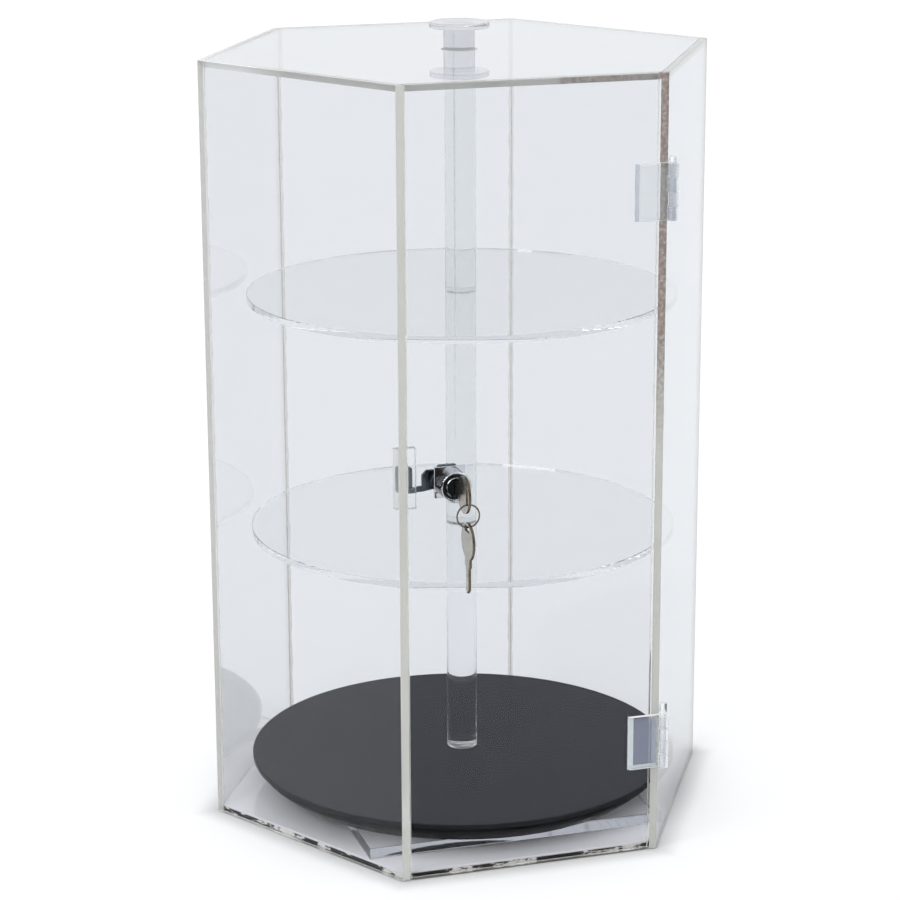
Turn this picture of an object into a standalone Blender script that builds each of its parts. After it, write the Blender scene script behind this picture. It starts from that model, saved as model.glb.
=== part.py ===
"""Rotating display case: six-sided clear acrylic case with a locking door and a turning carousel."""
import math

import bmesh
import bpy
from mathutils import Matrix, Vector

# Case: a regular hexagon of cemented acrylic sheet, door facing -Y, standing on z = 0
SIDE = 0.173
HEIGHT = 0.508
SHEET = 0.0045
JOINT_GAP = 0.0003
EDGE_CHAMFER = 0.00025
DOOR_GAP = 0.0005
DOOR_LIFT = 0.0008

# Riser plate under the turntable, its corners just clear of the slanting walls
RISER_WIDTH = 0.196
RISER_THICK = 0.0075
RISER_CORNER_GAP = 0.0006

# Turntable: a shallow pan, a ball race and a disc on top
DISC_WALL_GAP = 0.0028
DISC_THICK = 0.003
DISC_EDGE_ROUND = 0.0006
GROOVE_HEIGHT = 0.004
PAN_HEIGHT = 0.00835
PAN_SETBACK = 0.005
PAN_TAPER = 0.0075
PAN_RIM_BAND = 0.002
PAN_FLOOR = 0.0025
PAN_WALL = 0.003
HUB_RADIUS = 0.007
RUNNING_GAP = 0.0003
BOSS_WALL = 0.006
RECESS_HEIGHT = 0.003
BALL_COUNT = 8
BALL_RADIUS = 0.004
BALL_INSET = 0.0425
RACE_WALL = 0.0018
RACE_LIP = 0.002
RACE_SIDE_GAP = 0.0006
CAGE_WIDTH = 0.014
CAGE_THICK = 0.002
RIB_DEPTH = 0.002
PIVOT_HEAD_THICK = 0.0018
PIVOT_HEAD_OVERLAP = 0.0025
PIVOT_SHANK_RADIUS = 0.0025
PIVOT_SHANK_LENGTH = 0.008

# Carousel: a clear rod in three lengths that carries two round shelves and a knob
SHAFT_RADIUS = 0.0103
SHAFT_HOLE_GAP = 0.0014
SHELF_THICK = 0.0045
SHELF_SETBACK = 0.0028
LOWER_BAY = 0.1577
MIDDLE_BAY = 0.1537
KNOB_NECK = 0.0138
KNOB_RADIUS = 0.01975
KNOB_THICK = 0.0039
KNOB_ROUND = 0.0006

# Hinges: two clear four-knuckle hinges on the front right corner
UPPER_HINGE_DROP = 0.0725
LOWER_HINGE_RISE = 0.0762
HINGE_HEIGHT = 0.0358
KNUCKLE_COUNT = 4
KNUCKLE_GAP = 0.0003
BARREL_RADIUS = 0.0034
BARREL_CLEARANCE = 0.0004
LEAF_THICK = 0.003
LEAF_WIDTH = 0.0235
LEAF_BEVEL = 0.0016
LEAF_EDGE_THICK = 0.0012
HINGE_PIN_RADIUS = 0.0021
PIN_PROUD_UPPER = 0.004
PIN_PROUD_LOWER = 0.0085

# Lock, set in the door near its free edge
LOCK_HEIGHT = 0.2628
LOCK_INSET = 0.0263
LOCK_LENGTH = 0.0155
LOCK_RADIUS = 0.0098
LOCK_LIP_WIDTH = 0.0013
LOCK_FACE_DEPTH = 0.0016
LOCK_EDGE_ROUND = 0.0005
LOCK_PLATE_WIDTH = 0.0198
LOCK_PLATE_THICK = 0.0012
STEM_RADIUS = 0.008
NUT_WIDTH = 0.019
NUT_THICK = 0.003
PLUG_RADIUS = 0.0062
PLUG_SETBACK = 0.0009
KEYWAY_SIDE_GAP = 0.0003
BOSS_WIDTH = 0.006
CAM_THICK = 0.002
CAM_GAP = 0.0005
CAM_BAR_DROP = 0.0078
CAM_BAR_HEIGHT = 0.0034
CAM_HUB_RADIUS = 0.0056
CAM_BODY_REACH = 0.0148
CAM_BODY_CHAMFER = 0.003
CAM_TIP_WIDTH = 0.0043
CAM_TIP_RISE = 0.0092
CAM_OVERLAP = 0.0059
CAM_SCREW_RADIUS = 0.0045
CAM_SCREW_HEAD = 0.002
CAM_SCREW_SHANK_RADIUS = 0.0015
CAM_SCREW_SHANK_LENGTH = 0.005

# Strike plate cemented to the left wall behind the free edge of the door
STRIKE_REACH = 0.0094
STRIKE_GAP = 0.0004
STRIKE_THICK = 0.0045
STRIKE_HEIGHT = 0.039
STRIKE_RAISE = 0.0025

# Keys and ring
KEY_THICK = 0.0017
BOW_RADIUS = 0.0116
BOW_NECK = 0.0045
BOW_NECK_WIDTH = 0.009
BLADE_WIDTH = 0.0055
BLADE_LENGTH = 0.017
BIT_COUNT = 4
BIT_DEPTH = 0.0012
KEY_SLOT_WIDTH = 0.0038
KEY_SLOT_LENGTH = 0.0101
KEY_HOLE_OFFSET = 0.0078
KEY_SHOULDER_GAP = 0.0006
RING_RADIUS = 0.0071
RING_WIRE_RADIUS = 0.00055

# Facets of round pieces
DISC_SIDES = 84
PAN_SIDES = 60
ROD_SIDES = 40
SMALL_SIDES = 32
HOLE_SIDES = 18
BALL_SIDES = 10
BALL_RINGS = 7
WIRE_SIDES = 8
RING_STEPS = 36
CORNER_STEPS = 4

# Derived sizes shared by several pieces
APOTHEM = SIDE * math.cos(math.pi / 6)
INNER_APOTHEM = APOTHEM - SHEET
RISER_Z = SHEET + JOINT_GAP
PAN_Z = RISER_Z + RISER_THICK + JOINT_GAP
DISC_Z = PAN_Z + PAN_HEIGHT + GROOVE_HEIGHT
DISC_RADIUS = INNER_APOTHEM - DISC_WALL_GAP
BALL_CIRCLE_RADIUS = DISC_RADIUS - BALL_INSET
SHELF_RADIUS = DISC_RADIUS - SHELF_SETBACK
LOWER_SHAFT_Z = DISC_Z + DISC_THICK + JOINT_GAP
LOWER_SHELF_Z = LOWER_SHAFT_Z + LOWER_BAY + JOINT_GAP
MIDDLE_SHAFT_Z = LOWER_SHELF_Z + SHELF_THICK + JOINT_GAP
UPPER_SHELF_Z = MIDDLE_SHAFT_Z + MIDDLE_BAY + JOINT_GAP
UPPER_SHAFT_Z = UPPER_SHELF_Z + SHELF_THICK + JOINT_GAP
KNOB_Z = HEIGHT + KNOB_NECK
DOOR_HALF_WIDTH = SIDE / 2 - SHEET / math.cos(math.pi / 6) - DOOR_GAP
HINGE_OFFSET = BARREL_RADIUS + BARREL_CLEARANCE
HINGE_X = SIDE / 2 + HINGE_OFFSET * math.tan(math.pi / 6)
HINGE_Y = -APOTHEM - HINGE_OFFSET
LOCK_X = -DOOR_HALF_WIDTH + LOCK_INSET
CAM_DEPTH = SHEET + STRIKE_GAP + STRIKE_THICK + CAM_GAP
STEM_DEPTH = CAM_DEPTH - JOINT_GAP
PLUG_FRONT = LOCK_LENGTH - PLUG_SETBACK
KEY_FRONT = PLUG_FRONT + KEY_SHOULDER_GAP
BOW_CENTRE = KEY_FRONT + BOW_NECK + BOW_RADIUS
RING_SAG = KEY_SLOT_LENGTH / 2 - RING_WIRE_RADIUS - JOINT_GAP
SPARE_SAG = KEY_SLOT_WIDTH / 2 - RING_WIRE_RADIUS - JOINT_GAP

for old in list(bpy.data.objects):
    bpy.data.objects.remove(old, do_unlink=True)

case_parts = bpy.data.collections.new("Rotating display case")
cutter_parts = bpy.data.collections.new("Cutters")
bpy.context.scene.collection.children.link(case_parts)
bpy.context.scene.collection.children.link(cutter_parts)


def material(name, colour, roughness, metallic=0.0, transmission=0.0):
    """A Principled material for one kind of stock."""
    mat = bpy.data.materials.new(name)
    mat.use_nodes = True
    shader = mat.node_tree.nodes["Principled BSDF"]
    shader.inputs["Base Color"].default_value = (*colour, 1.0)
    shader.inputs["Roughness"].default_value = roughness
    shader.inputs["Metallic"].default_value = metallic
    shader.inputs["Transmission Weight"].default_value = transmission
    mat.diffuse_color = (*colour, 1.0)
    return mat


ACRYLIC = material("clear acrylic sheet", (0.86, 0.92, 0.92), 0.05, transmission=1.0)
ROD = material("clear acrylic rod", (0.9, 0.94, 0.94), 0.05, transmission=1.0)
HINGE_STOCK = material("clear moulded hinge", (0.84, 0.9, 0.9), 0.1, transmission=1.0)
BLACK = material("satin black plastic", (0.015, 0.016, 0.018), 0.35)
CAGE_STOCK = material("moulded cage plastic", (0.5, 0.48, 0.42), 0.45)
STEEL = material("polished steel", (0.6, 0.6, 0.6), 0.2, metallic=1.0)
CHROME = material("chrome plate", (0.75, 0.76, 0.78), 0.08, metallic=1.0)
NICKEL = material("nickel key blank", (0.62, 0.57, 0.49), 0.25, metallic=1.0)
WIRE = material("steel spring wire", (0.35, 0.34, 0.33), 0.3, metallic=1.0)

UPRIGHT = (0.0, 0.0, 0.0)
FACING_OUT = (math.pi / 2, 0.0, 0.0)


def circle(radius, sides, x=0.0, y=0.0):
    """Corner points of a round outline."""
    turn = 2 * math.pi / sides
    return [(x + radius * math.cos(k * turn), y + radius * math.sin(k * turn)) for k in range(sides)]


def arc(radius, start, end, steps, x=0.0, y=0.0):
    """Points along an arc, angles in degrees, both ends included."""
    angles = [math.radians(start + (end - start) * k / steps) for k in range(steps + 1)]
    return [(x + radius * math.cos(a), y + radius * math.sin(a)) for a in angles]


def ring_of_sides(sides):
    """Corners where each straight side, given as (normal angle in degrees, distance), meets the next."""
    corners = []
    for (angle_a, dist_a), (angle_b, dist_b) in zip(sides, sides[1:] + sides[:1]):
        a = math.radians(angle_a)
        b = math.radians(angle_b)
        det = math.sin(b - a)
        x = (dist_a * math.sin(b) - dist_b * math.sin(a)) / det
        y = (dist_b * math.cos(a) - dist_a * math.cos(b)) / det
        corners.append((x, y))
    return corners


def add_object(name, mesh, stock, collection=case_parts):
    """Link a mesh as one named object."""
    obj = bpy.data.objects.new(name, mesh)
    collection.objects.link(obj)
    if stock:
        mesh.materials.append(stock)
    return obj


def plate(name, outlines, thick, stock, chamfer=0.0):
    """Flat plate from an outer outline and any holes, lying on local z = 0."""
    curve = bpy.data.curves.new(name + "_outline", "CURVE")
    curve.dimensions = "2D"
    curve.fill_mode = "BOTH"
    curve.extrude = thick / 2
    for points in outlines:
        spline = curve.splines.new("POLY")
        spline.points.add(len(points) - 1)
        for point, (x, y) in zip(spline.points, points):
            point.co = (x, y, 0.0, 1.0)
        spline.use_cyclic_u = True
    drawn = bpy.data.objects.new(name + "_outline", curve)
    cutter_parts.objects.link(drawn)
    graph = bpy.context.evaluated_depsgraph_get()
    mesh = bpy.data.meshes.new_from_object(drawn.evaluated_get(graph))
    bpy.data.objects.remove(drawn, do_unlink=True)
    bm = bmesh.new()
    bm.from_mesh(mesh)
    bmesh.ops.remove_doubles(bm, verts=bm.verts, dist=0.00001)
    bmesh.ops.translate(bm, verts=bm.verts, vec=(0.0, 0.0, thick / 2))
    bmesh.ops.recalc_face_normals(bm, faces=bm.faces)
    bm.to_mesh(mesh)
    bm.free()
    mesh.materials.clear()
    obj = add_object(name, mesh, stock)
    if chamfer:
        bevel = obj.modifiers.new("polished arris", "BEVEL")
        bevel.width = chamfer
        bevel.segments = 1
        bevel.limit_method = "ANGLE"
        bevel.angle_limit = math.radians(40)
    return obj


def turned(name, profile, sides, stock, closed):
    """Round piece swept from a profile of (radius, z) points running down its outer side."""
    bm = bmesh.new()
    verts = [bm.verts.new((r, 0.0, z)) for r, z in profile]
    for a, b in zip(verts, verts[1:]):
        bm.edges.new((a, b))
    if closed:
        bm.edges.new((verts[-1], verts[0]))
    mesh = bpy.data.meshes.new(name)
    bm.to_mesh(mesh)
    bm.free()
    obj = add_object(name, mesh, stock)
    screw = obj.modifiers.new("turned", "SCREW")
    screw.axis = "Z"
    screw.angle = 2 * math.pi
    screw.steps = sides
    screw.render_steps = sides
    screw.use_merge_vertices = True
    screw.merge_threshold = 0.00001
    screw.use_smooth_shade = False
    return obj


def round_helper(name, radius, length, sides):
    """Hidden round helper standing on local z = 0."""
    bm = bmesh.new()
    bmesh.ops.create_cone(bm, cap_ends=True, segments=sides, radius1=radius, radius2=radius, depth=length,
                          matrix=Matrix.Translation((0.0, 0.0, length / 2)))
    mesh = bpy.data.meshes.new(name)
    bm.to_mesh(mesh)
    bm.free()
    return add_object(name, mesh, None, cutter_parts)


def block(name, low, high):
    """Hidden rectangular helper between two corners."""
    low = Vector(low)
    high = Vector(high)
    size = high - low
    bm = bmesh.new()
    fit = Matrix.Translation((low + high) / 2) @ Matrix.Diagonal((*size, 1.0))
    bmesh.ops.create_cube(bm, size=1.0, matrix=fit)
    mesh = bpy.data.meshes.new(name)
    bm.to_mesh(mesh)
    bm.free()
    return add_object(name, mesh, None, cutter_parts)


def place(obj, location, turn=UPRIGHT, parent=None):
    """Put a piece at a world place, riding on its joint's empty when it has one."""
    obj.location = location
    obj.rotation_euler = turn
    if parent:
        obj.parent = parent
        obj.matrix_parent_inverse = Matrix.Translation(-parent_place(parent))
    return obj


def parent_place(empty):
    """World place of an empty, whose parents are all unturned."""
    spot = Vector(empty.location)
    if empty.parent:
        spot += empty.matrix_parent_inverse.translation + parent_place(empty.parent)
    return spot


def joint_empty(name, location, parent=None):
    """Empty on a joint's axis."""
    empty = bpy.data.objects.new(name, None)
    empty.empty_display_size = 0.02
    case_parts.objects.link(empty)
    return place(empty, location, parent=parent)


def combine(obj, other, operation):
    """Join or cut one piece with a hidden helper."""
    other.hide_render = True
    other.display_type = "WIRE"
    boolean = obj.modifiers.new(operation.lower(), "BOOLEAN")
    boolean.object = other
    boolean.operation = operation
    boolean.solver = "EXACT"


def smooth(obj, angle=30.0):
    """Shade a round piece smooth except at its edges."""
    for face in obj.data.polygons:
        face.use_smooth = True
    edges = obj.modifiers.new("edge split", "EDGE_SPLIT")
    edges.split_angle = math.radians(angle)


def build_case():
    """Walls, base, top, riser and strike plate, all cemented together."""
    inner_step = SHEET * math.tan(math.pi / 6)
    mitre_gap = JOINT_GAP / 2 / math.cos(math.pi / 6)
    half = SIDE / 2
    # Normal angle, then +1 for a mitred end or -1 for an end cut flush with the door's face
    walls = {"right_wall": (-30, 1, -1), "back_right_wall": (30, 1, 1), "back_wall": (90, 1, 1),
             "back_left_wall": (150, 1, 1), "left_wall": (210, -1, 1)}
    for name, (angle, start, end) in walls.items():
        start_gap = mitre_gap if start > 0 else 0.0
        end_gap = mitre_gap if end > 0 else 0.0
        outline = [(half - end_gap, APOTHEM), (-half + start_gap, APOTHEM),
                   (-half + start * inner_step + start_gap, INNER_APOTHEM),
                   (half - end * inner_step - end_gap, INNER_APOTHEM)]
        wall = plate(name, [outline], HEIGHT, ACRYLIC, EDGE_CHAMFER)
        place(wall, (0.0, 0.0, 0.0), (0.0, 0.0, math.radians(angle - 90)))

    inset = [(angle, INNER_APOTHEM - JOINT_GAP) for angle in (-30, 30, 90, 150, 210)]
    panel = ring_of_sides(inset + [(270, INNER_APOTHEM - DOOR_GAP)])
    plate("base_panel", [panel], SHEET, ACRYLIC, EDGE_CHAMFER)
    hole = circle(SHAFT_RADIUS + SHAFT_HOLE_GAP, ROD_SIDES)
    top = plate("top_panel", [panel, hole], SHEET, ACRYLIC, EDGE_CHAMFER)
    place(top, (0.0, 0.0, HEIGHT - SHEET))

    half_width = RISER_WIDTH / 2
    slant = INNER_APOTHEM - RISER_CORNER_GAP - half_width * math.cos(math.pi / 6)
    half_depth = slant / math.sin(math.pi / 6)
    corners = [(half_width, half_depth), (-half_width, half_depth),
               (-half_width, -half_depth), (half_width, -half_depth)]
    riser = plate("riser_plate", [corners], RISER_THICK, ACRYLIC, EDGE_CHAMFER)
    place(riser, (0.0, 0.0, RISER_Z))

    front = -INNER_APOTHEM + STRIKE_GAP
    wall_reach = (INNER_APOTHEM - JOINT_GAP) / math.cos(math.pi / 6)
    lean = math.tan(math.pi / 6)
    strike_edge = -wall_reach - front * lean + STRIKE_REACH
    outline = [(strike_edge, front), (strike_edge, front + STRIKE_THICK),
               (-wall_reach - (front + STRIKE_THICK) * lean, front + STRIKE_THICK),
               (-wall_reach - front * lean, front)]
    strike = plate("strike_plate", [outline], STRIKE_HEIGHT, ACRYLIC, EDGE_CHAMFER)
    place(strike, (0.0, 0.0, LOCK_HEIGHT + STRIKE_RAISE - STRIKE_HEIGHT / 2))
    return strike_edge


def build_turntable(spin, cage_spin):
    """Pan, balls in their cage, disc and the screw that holds the disc down."""
    rim = DISC_RADIUS - PAN_SETBACK
    foot = rim - PAN_TAPER
    race_half = BALL_RADIUS + RACE_SIDE_GAP
    race_in = BALL_CIRCLE_RADIUS - race_half
    race_out = BALL_CIRCLE_RADIUS + race_half
    race_floor = PAN_HEIGHT + GROOVE_HEIGHT - 2 * RUNNING_GAP - 2 * BALL_RADIUS
    race_top = race_floor + RACE_LIP
    bore = HUB_RADIUS + RUNNING_GAP
    recess = HUB_RADIUS + PIVOT_HEAD_OVERLAP + 2 * RUNNING_GAP
    boss = recess + BOSS_WALL - PIVOT_HEAD_OVERLAP
    profile = [(rim, PAN_HEIGHT), (rim, PAN_HEIGHT - PAN_RIM_BAND), (foot, 0.0), (recess, 0.0),
               (recess, RECESS_HEIGHT), (bore, RECESS_HEIGHT), (bore, PAN_HEIGHT), (boss, PAN_HEIGHT),
               (boss, PAN_FLOOR), (race_in - RACE_WALL, PAN_FLOOR), (race_in - RACE_WALL, race_top),
               (race_in, race_top), (race_in, race_floor), (race_out, race_floor), (race_out, race_top),
               (race_out + RACE_WALL, race_top), (race_out + RACE_WALL, PAN_FLOOR),
               (foot - PAN_WALL, PAN_FLOOR), (rim - PAN_WALL, PAN_HEIGHT - PAN_RIM_BAND),
               (rim - PAN_WALL, PAN_HEIGHT)]
    pan = turned("turntable_pan", profile, PAN_SIDES, BLACK, closed=True)
    smooth(place(pan, (0.0, 0.0, PAN_Z)))

    hub_end = -(GROOVE_HEIGHT + PAN_HEIGHT - RECESS_HEIGHT)
    pilot = PIVOT_SHANK_RADIUS + RUNNING_GAP
    pilot_end = hub_end + PIVOT_SHANK_LENGTH + RUNNING_GAP
    top_edge = DISC_THICK - DISC_EDGE_ROUND
    profile = [(0.0, DISC_THICK), (DISC_RADIUS - DISC_EDGE_ROUND, DISC_THICK), (DISC_RADIUS, top_edge),
               (DISC_RADIUS, 0.0), (race_out + RACE_WALL, 0.0), (race_out + RACE_WALL, -RIB_DEPTH),
               (race_out, -RIB_DEPTH), (race_out, 0.0), (race_in, 0.0), (race_in, -RIB_DEPTH),
               (race_in - RACE_WALL, -RIB_DEPTH), (race_in - RACE_WALL, 0.0), (HUB_RADIUS, 0.0),
               (HUB_RADIUS, hub_end), (pilot, hub_end), (pilot, pilot_end), (0.0, pilot_end)]
    disc = turned("turntable_disc", profile, DISC_SIDES, BLACK, closed=False)
    smooth(place(disc, (0.0, 0.0, DISC_Z), parent=spin))

    head_top = hub_end - JOINT_GAP
    head = HUB_RADIUS + PIVOT_HEAD_OVERLAP
    profile = [(0.0, head_top + PIVOT_SHANK_LENGTH), (PIVOT_SHANK_RADIUS, head_top + PIVOT_SHANK_LENGTH),
               (PIVOT_SHANK_RADIUS, head_top), (head, head_top), (head, head_top - PIVOT_HEAD_THICK),
               (0.0, head_top - PIVOT_HEAD_THICK)]
    screw = turned("pivot_screw", profile, SMALL_SIDES, STEEL, closed=False)
    smooth(place(screw, (0.0, 0.0, DISC_Z), parent=spin))

    ball_z = PAN_Z + race_floor + RUNNING_GAP + BALL_RADIUS
    inner = circle(BALL_CIRCLE_RADIUS - CAGE_WIDTH / 2, PAN_SIDES)
    outer = circle(BALL_CIRCLE_RADIUS + CAGE_WIDTH / 2, PAN_SIDES)
    centres = circle(BALL_CIRCLE_RADIUS, BALL_COUNT)
    pockets = [circle(BALL_RADIUS + RUNNING_GAP, HOLE_SIDES, x, y) for x, y in centres]
    cage = plate("ball_cage", [outer, inner, *pockets], CAGE_THICK, CAGE_STOCK)
    place(cage, (0.0, 0.0, ball_z - CAGE_THICK / 2), parent=cage_spin)
    for k, (x, y) in enumerate(centres):
        name = f"bearing_ball_{k + 1}"
        bm = bmesh.new()
        bmesh.ops.create_uvsphere(bm, u_segments=BALL_SIDES, v_segments=BALL_RINGS, radius=BALL_RADIUS)
        mesh = bpy.data.meshes.new(name)
        bm.to_mesh(mesh)
        bm.free()
        ball = add_object(name, mesh, STEEL)
        for face in mesh.polygons:
            face.use_smooth = True
        place(ball, (x, y, ball_z), parent=cage_spin)


def build_carousel(spin):
    """Three rods, two shelves and the knob, all turning with the disc."""
    upper_length = KNOB_Z - JOINT_GAP - UPPER_SHAFT_Z
    rods = {"lower_shaft": (LOWER_SHAFT_Z, LOWER_BAY), "middle_shaft": (MIDDLE_SHAFT_Z, MIDDLE_BAY),
            "upper_shaft": (UPPER_SHAFT_Z, upper_length)}
    for name, (z, length) in rods.items():
        rod = plate(name, [circle(SHAFT_RADIUS, ROD_SIDES)], length, ROD, EDGE_CHAMFER)
        smooth(place(rod, (0.0, 0.0, z), parent=spin))
    rim = SHELF_RADIUS - EDGE_CHAMFER
    land = SHAFT_RADIUS + SHAFT_HOLE_GAP
    profile = [(0.0, SHELF_THICK), (land, SHELF_THICK), (rim, SHELF_THICK),
               (SHELF_RADIUS, SHELF_THICK - EDGE_CHAMFER), (SHELF_RADIUS, EDGE_CHAMFER),
               (rim, 0.0), (land, 0.0), (0.0, 0.0)]
    for name, z in {"lower_shelf": LOWER_SHELF_Z, "upper_shelf": UPPER_SHELF_Z}.items():
        shelf = turned(name, profile, DISC_SIDES, ACRYLIC, closed=False)
        smooth(place(shelf, (0.0, 0.0, z), parent=spin))
    rim = KNOB_RADIUS - KNOB_ROUND
    profile = [(0.0, KNOB_THICK), (rim, KNOB_THICK), (KNOB_RADIUS, KNOB_THICK - KNOB_ROUND),
               (KNOB_RADIUS, KNOB_ROUND), (rim, 0.0), (0.0, 0.0)]
    knob = turned("knob_disc", profile, ROD_SIDES, ACRYLIC, closed=False)
    smooth(place(knob, (0.0, 0.0, KNOB_Z), parent=spin), 50.0)


def hinge_leaf(name, outward, first_knuckle):
    """Leaf along local +X with every other knuckle, its panel on the side away from local Y times outward."""
    pitch = HINGE_HEIGHT / KNUCKLE_COUNT
    inner = HINGE_OFFSET - JOINT_GAP
    outer = inner - LEAF_THICK
    lean = math.tan(math.pi / 6)
    free_edge = inner - LEAF_EDGE_THICK
    outline = [(inner * lean + JOINT_GAP, -outward * inner), (LEAF_WIDTH, -outward * inner),
               (LEAF_WIDTH, -outward * free_edge), (LEAF_WIDTH - LEAF_BEVEL, -outward * outer),
               (outer * lean + JOINT_GAP, -outward * outer)]
    leaf = plate(name, [outline], HINGE_HEIGHT, HINGE_STOCK)
    for k in range(KNUCKLE_COUNT):
        own = k % 2 == first_knuckle
        gap = KNUCKLE_GAP / 2 if own else -KNUCKLE_GAP / 2
        radius = BARREL_RADIUS if own else BARREL_RADIUS + BARREL_CLEARANCE
        drum = round_helper(f"{name}_drum_{k}", radius, pitch - 2 * gap, SMALL_SIDES)
        drum.location = (0.0, 0.0, k * pitch + gap)
        drum.parent = leaf
        combine(leaf, drum, "UNION" if own else "DIFFERENCE")
    bore_radius = HINGE_PIN_RADIUS + JOINT_GAP
    bore = round_helper(f"{name}_bore", bore_radius, 3 * HINGE_HEIGHT, HOLE_SIDES)
    bore.location = (0.0, 0.0, -HINGE_HEIGHT)
    bore.parent = leaf
    combine(leaf, bore, "DIFFERENCE")
    return leaf


def build_door(swing):
    """Door panel with its lock hole, the hinge leaves on door and wall, and the pins."""
    outline = [(-DOOR_HALF_WIDTH, 0.0), (DOOR_HALF_WIDTH, 0.0),
               (DOOR_HALF_WIDTH, HEIGHT - DOOR_LIFT), (-DOOR_HALF_WIDTH, HEIGHT - DOOR_LIFT)]
    hole = circle(STEM_RADIUS + JOINT_GAP, SMALL_SIDES, LOCK_X, LOCK_HEIGHT - DOOR_LIFT)
    door = plate("door_panel", [outline, hole], SHEET, ACRYLIC, EDGE_CHAMFER)
    place(door, (0.0, -INNER_APOTHEM, DOOR_LIFT), FACING_OUT, swing)

    heights = {"upper_hinge": (HEIGHT - UPPER_HINGE_DROP - HINGE_HEIGHT / 2, PIN_PROUD_UPPER),
               "lower_hinge": (LOWER_HINGE_RISE - HINGE_HEIGHT / 2, PIN_PROUD_LOWER)}
    for name, (z, proud) in heights.items():
        spot = (HINGE_X, HINGE_Y, z)
        place(hinge_leaf(name + "_wall_leaf", -1, 0), spot, (0.0, 0.0, math.radians(60)))
        place(hinge_leaf(name + "_door_leaf", 1, 1), spot, (0.0, 0.0, math.pi), swing)
        pin = plate(name + "_pin", [circle(HINGE_PIN_RADIUS, HOLE_SIDES)], HINGE_HEIGHT + proud, HINGE_STOCK,
                    EDGE_CHAMFER)
        smooth(place(pin, spot, parent=swing))


def lock_spot(depth_out):
    """World place on the lock's axis, measured outward from the door's face."""
    return (LOCK_X, -APOTHEM - depth_out, LOCK_HEIGHT)


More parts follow.
